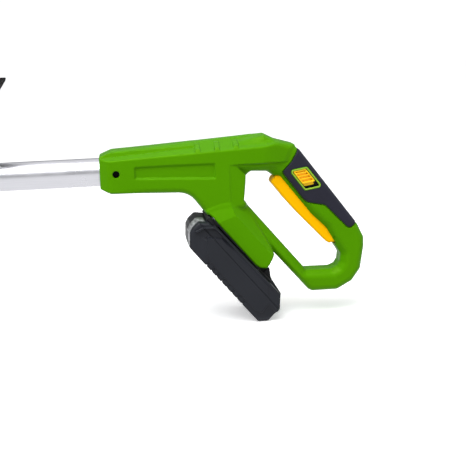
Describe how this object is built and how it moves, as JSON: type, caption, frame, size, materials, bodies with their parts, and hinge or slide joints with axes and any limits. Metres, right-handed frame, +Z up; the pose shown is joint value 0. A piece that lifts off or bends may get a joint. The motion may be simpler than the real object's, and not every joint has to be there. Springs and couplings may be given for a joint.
{
  "type": "string trimmer",
  "caption": "Battery string trimmer: D-shaped rear handle with trigger, slide-on battery under an inclined foot, telescopic boom, front loop handle and tilting guarded cutting head.",
  "frame": {"origin": "on the ground under the middle of the tool's overall length, centred across its width, with the tool lying on its battery corner and its guard's rear edge", "axes": "+X along the boom towards the rear handle, +Y to the operator's right, +Z up"},
  "size_m": [1.1115, 0.2934, 0.2504],
  "materials": {
    "green_plastic": "satin moulded lime green",
    "grip_rubber": "soft matt overmould",
    "black_plastic": "fine-grained black",
    "battery_plastic": "satin black",
    "orange_plastic": "satin amber",
    "boom_aluminium": "drawn and anodised",
    "plated_steel": "zinc plated",
    "cell_wrap": "shrink sleeve",
    "circuit_board": "solder mask",
    "nylon_line": "extruded nylon"
  },
  "bodies": {
    "housing": {"handle_shell_left": "green_plastic", "handle_shell_right": "green_plastic", "grip_pad_left": "grip_rubber", "grip_pad_right": "grip_rubber", "trigger_switch": "black_plastic", "trigger_pin": "plated_steel", "trigger_spring": "plated_steel", "lock_spring": "plated_steel", "battery_dock": "black_plastic", "terminal_block": "black_plastic", "tube_bolt": "plated_steel", "shell_screw_1": "plated_steel", "shell_screw_2": "plated_steel", "shell_screw_3": "plated_steel", "upper_tube": "boom_aluminium", "coiled_lead": "black_plastic", "boom_collar": "black_plastic", "cam_pin": "plated_steel"},
    "trigger": {"trigger": "orange_plastic"},
    "lock_off": {"lock_slide": "orange_plastic"},
    "cam_lever": {"cam_lever": "orange_plastic"},
    "front_clamp": {"aux_clamp_upper": "black_plastic", "aux_clamp_lower": "black_plastic", "aux_bolt": "plated_steel"},
    "front_handle": {"aux_handle_loop": "black_plastic", "aux_grip": "grip_rubber"},
    "clamp_knob": {"aux_knob": "black_plastic"},
    "lower_boom": {"lower_tube": "boom_aluminium", "head_neck": "black_plastic", "tilt_pin": "plated_steel", "tilt_spring": "plated_steel"},
    "tilt_release": {"tilt_button": "orange_plastic"},
    "head": {"head_shell_left": "green_plastic", "head_shell_right": "green_plastic", "head_screw": "plated_steel", "motor_can": "plated_steel", "guard": "black_plastic", "guard_screw_1": "plated_steel", "guard_screw_2": "plated_steel", "line_cutter": "plated_steel"},
    "plant_guard": {"plant_guard_wire": "plated_steel"},
    "spool": {"motor_rotor": "plated_steel", "spool_housing": "black_plastic", "spool_cover": "black_plastic", "eyelet_1": "plated_steel", "eyelet_2": "plated_steel", "spool_spring": "plated_steel"},
    "bump_knob": {"bump_cap": "black_plastic", "line_bobbin": "orange_plastic", "wound_line": "nylon_line"},
    "battery": {"battery_case_lower": "battery_plastic", "battery_case_upper": "battery_plastic", "battery_cell_1": "cell_wrap", "battery_cell_2": "cell_wrap", "battery_cell_3": "cell_wrap", "battery_cell_4": "cell_wrap", "battery_cell_5": "cell_wrap", "battery_board": "circuit_board", "latch_spring": "plated_steel"},
    "latch": {"battery_latch": "battery_plastic"}
  },
  "joints": [
    {"name": "trigger_pull", "type": "hinge", "parent": "housing", "child": "trigger", "pos_m": [0.52758, 0, 0.07743], "axis": [0, 1, 0], "range_deg": [0, 4], "stiffness_Nm_per_rad": 4, "springref_deg": -5.73, "deforming": ["trigger_spring"]},
    {"name": "lock_off_slide", "type": "slide", "parent": "housing", "child": "lock_off", "axis": [0.5962, 0, -0.8028], "range_m": [0, 0.0055], "stiffness_N_per_m": 400, "springref_m": -0.003, "deforming": ["lock_spring"]},
    {"name": "battery_release", "type": "slide", "parent": "housing", "child": "battery", "axis": [0.6361, 0, -0.7716], "range_m": [0, 0.085]},
    {"name": "latch_press", "type": "slide", "parent": "battery", "child": "latch", "axis": [-0.7716, 0, -0.6361], "range_m": [0, 0.0033], "stiffness_N_per_m": 600, "springref_m": -0.002, "deforming": ["latch_spring"]},
    {"name": "boom_extend", "type": "slide", "parent": "housing", "child": "lower_boom", "axis": [-1, 0, 0], "range_m": [0, 0.2], "deforming": ["coiled_lead"]},
    {"name": "cam_lever_open", "type": "hinge", "parent": "housing", "child": "cam_lever", "pos_m": [-0.1674, 0, 0.1786], "axis": [0, -1, 0], "range_deg": [0, 110]},
    {"name": "front_clamp_slide", "type": "slide", "parent": "housing", "child": "front_clamp", "axis": [1, 0, 0], "range_m": [-0.2, 0.06]},
    {"name": "front_handle_tilt", "type": "hinge", "parent": "front_clamp", "child": "front_handle", "pos_m": [0.1191, 0, 0.13], "axis": [0, 1, 0], "range_deg": [-55, 20]},
    {"name": "clamp_knob_turn", "type": "hinge", "parent": "front_clamp", "child": "clamp_knob", "pos_m": [0.1191, 0.043, 0.13], "axis": [0, 1, 0], "continuous": true},
    {"name": "head_tilt", "type": "hinge", "parent": "lower_boom", "child": "head", "pos_m": [-0.3524, 0, 0.154], "axis": [0, 1, 0], "range_deg": [-20, 40]},
    {"name": "tilt_button_press", "type": "slide", "parent": "lower_boom", "child": "tilt_release", "axis": [0, 0, -1], "range_m": [0, 0.002], "stiffness_N_per_m": 600, "springref_m": -0.002, "deforming": ["tilt_spring"]},
    {"name": "spool_spin", "type": "hinge", "parent": "head", "child": "spool", "pos_m": [-0.43811, 0, 0.09587], "axis": [0.5736, 0, 0.8192], "continuous": true},
    {"name": "bump_feed", "type": "slide", "parent": "spool", "child": "bump_knob", "axis": [0.5736, 0, 0.8192], "range_m": [0, 0.0035], "stiffness_N_per_m": 800, "springref_m": -0.004, "deforming": ["spool_spring"]},
    {"name": "plant_guard_fold", "type": "hinge", "parent": "head", "child": "plant_guard", "pos_m": [-0.42434, 0, 0.11553], "axis": [0, 1, 0], "range_deg": [0, 80]}
  ]
}
